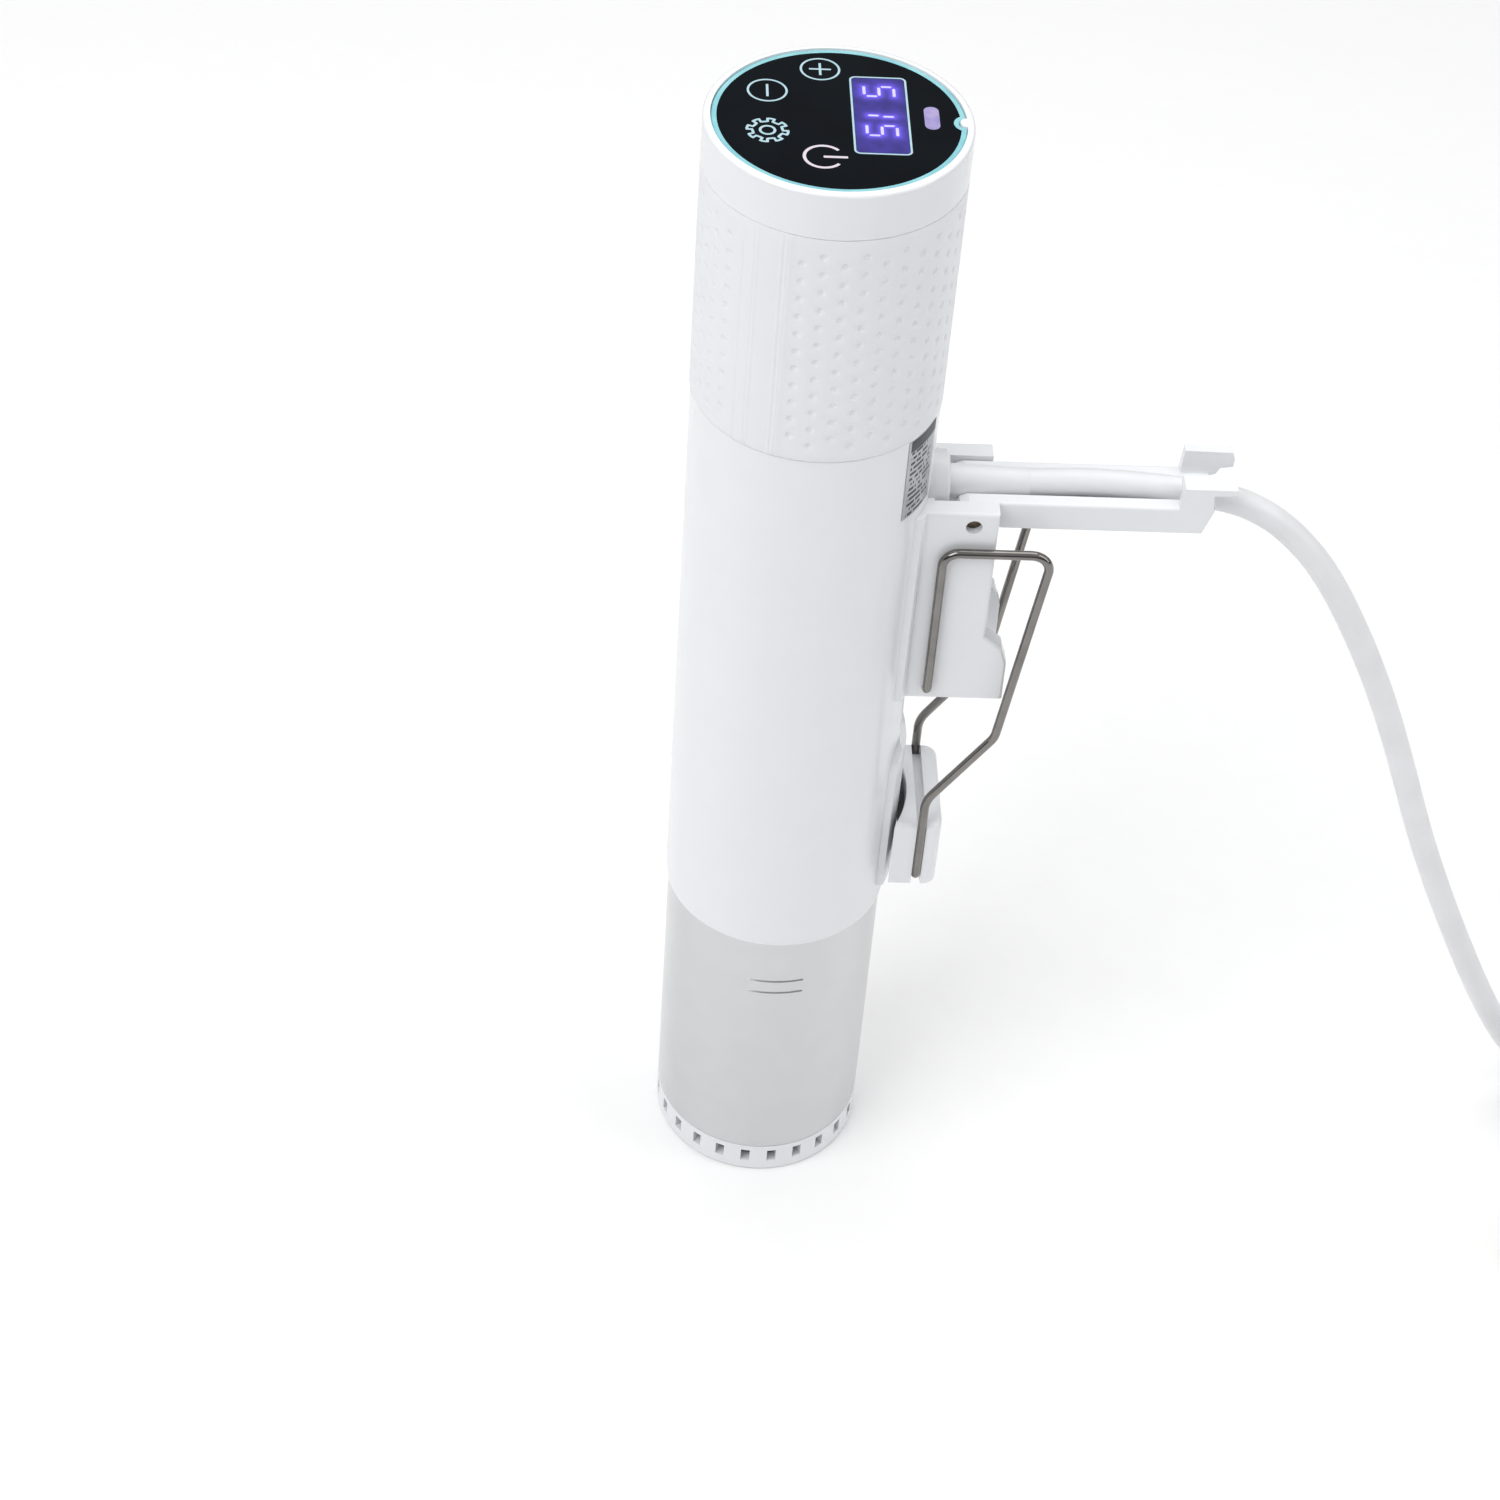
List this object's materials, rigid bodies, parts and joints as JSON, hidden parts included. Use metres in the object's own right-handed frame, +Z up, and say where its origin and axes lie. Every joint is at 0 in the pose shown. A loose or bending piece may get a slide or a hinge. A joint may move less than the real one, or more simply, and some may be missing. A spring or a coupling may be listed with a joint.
{
  "type": "sous vide circulator",
  "caption": "Immersion circulator with touch display, dimpled grip, steel heater skirt, sprung wire rim clip and swinging cord guide.",
  "frame": {"origin": "centre of the flat base of the round body, on the body's axis", "axes": "+Z up along the round body; +X towards the rim clip, cord guide and cord; the touch panel is read from -X"},
  "size_m": [0.3738, 0.1057, 0.37],
  "materials": {
    "white_abs": "glossy moulded",
    "white_grip": "dimpled moulded",
    "panel_glass": "black-printed glass",
    "black_foam": "matte foam",
    "spring_steel": "bright plated wire",
    "display_lens": "lit lens",
    "status_lens": "lit lens",
    "circuit_board": "solder mask",
    "black_plastic": "moulded",
    "grey_plastic": "moulded frame",
    "stainless": "brushed",
    "zinc_steel": "zinc plated",
    "motor_steel": "dark lacquer",
    "copper_winding": "enamelled wire",
    "bronze": "sintered",
    "aluminium": "extruded",
    "seal_rubber": "moulded",
    "grip_rubber": "soft moulded",
    "relay_blue": "moulded",
    "ribbon_grey": "flat cable",
    "terminal_green": "moulded",
    "foil_label": "printed foil",
    "white_cord": "smooth PVC sheath",
    "plug_plastic": "moulded PVC",
    "pin_brass": "plated",
    "wire_red": "silicone insulation"
  },
  "bodies": {
    "body": {"top_cap_ring": "white_abs", "touch_panel_glass": "panel_glass", "panel_foam": "black_foam", "key_springs": "zinc_steel", "display_module": "display_lens", "status_lamp": "status_lens", "display_board": "circuit_board", "display_board_screws": "zinc_steel", "buzzer": "black_plastic", "grip_sleeve": "white_grip", "main_housing": "white_abs", "rating_label": "foil_label", "jaw_pad": "white_abs", "steel_skirt": "stainless", "skirt_o_ring": "seal_rubber", "chassis": "grey_plastic", "power_board": "circuit_board", "transformer": "motor_steel", "relay": "relay_blue", "filter_capacitors": "black_plastic", "fuse": "zinc_steel", "terminal_block": "terminal_green", "heat_sink": "aluminium", "heater_triac": "black_plastic", "ribbon_cable": "ribbon_grey", "mains_wires": "wire_red", "heater_wires": "wire_red", "motor_mount": "zinc_steel", "motor_can": "motor_steel", "motor_bearings": "bronze", "motor_stator": "copper_winding", "motor_screws": "zinc_steel", "shaft_seal": "seal_rubber", "guide_tube": "stainless", "shaft_bush": "bronze", "seal_plate": "stainless", "seal_gasket": "seal_rubber", "heater_element": "stainless", "temperature_probe": "stainless", "level_rods": "stainless", "clamp_bracket": "white_abs", "bracket_screws": "zinc_steel", "arm_pins": "zinc_steel", "cord_gland": "plug_plastic", "strain_relief": "white_cord", "cord_held": "white_cord", "cord_drop": "white_cord", "cord_coil": "white_cord", "cord_tail": "white_cord", "plug_body": "plug_plastic", "plug_pins": "pin_brass"},
    "cord_guide": {"cord_arm": "white_abs"},
    "rim_clip": {"wire_clip": "spring_steel", "foot_pad": "white_abs", "foot_rubber": "grip_rubber"},
    "pump_rotor": {"drive_shaft": "stainless", "motor_rotor": "zinc_steel", "cooling_fan": "black_plastic", "impeller": "grey_plastic"},
    "twist_cap": {"base_cap": "white_abs"}
  },
  "joints": [
    {"name": "cord_guide_tilt", "type": "hinge", "parent": "body", "child": "cord_guide", "pos_m": [0.0437, 0, 0.2554], "axis": [0, -1, 0], "range_deg": [0, 60], "deforming": ["cord_held", "cord_drop", "strain_relief"]},
    {"name": "rim_clip_open", "type": "hinge", "parent": "body", "child": "rim_clip", "pos_m": [0.0365, 0, 0.197], "axis": [0, -1, 0], "range_deg": [0, 4], "stiffness_Nm_per_rad": 2, "springref_deg": -1.15},
    {"name": "pump_spin", "type": "hinge", "parent": "body", "child": "pump_rotor", "pos_m": [0, 0, 0.02], "axis": [0, 0, 1], "continuous": true},
    {"name": "cap_twist", "type": "hinge", "parent": "body", "child": "twist_cap", "pos_m": [0, 0, 0.006], "axis": [0, 0, 1], "range_deg": [0, 25]}
  ]
}
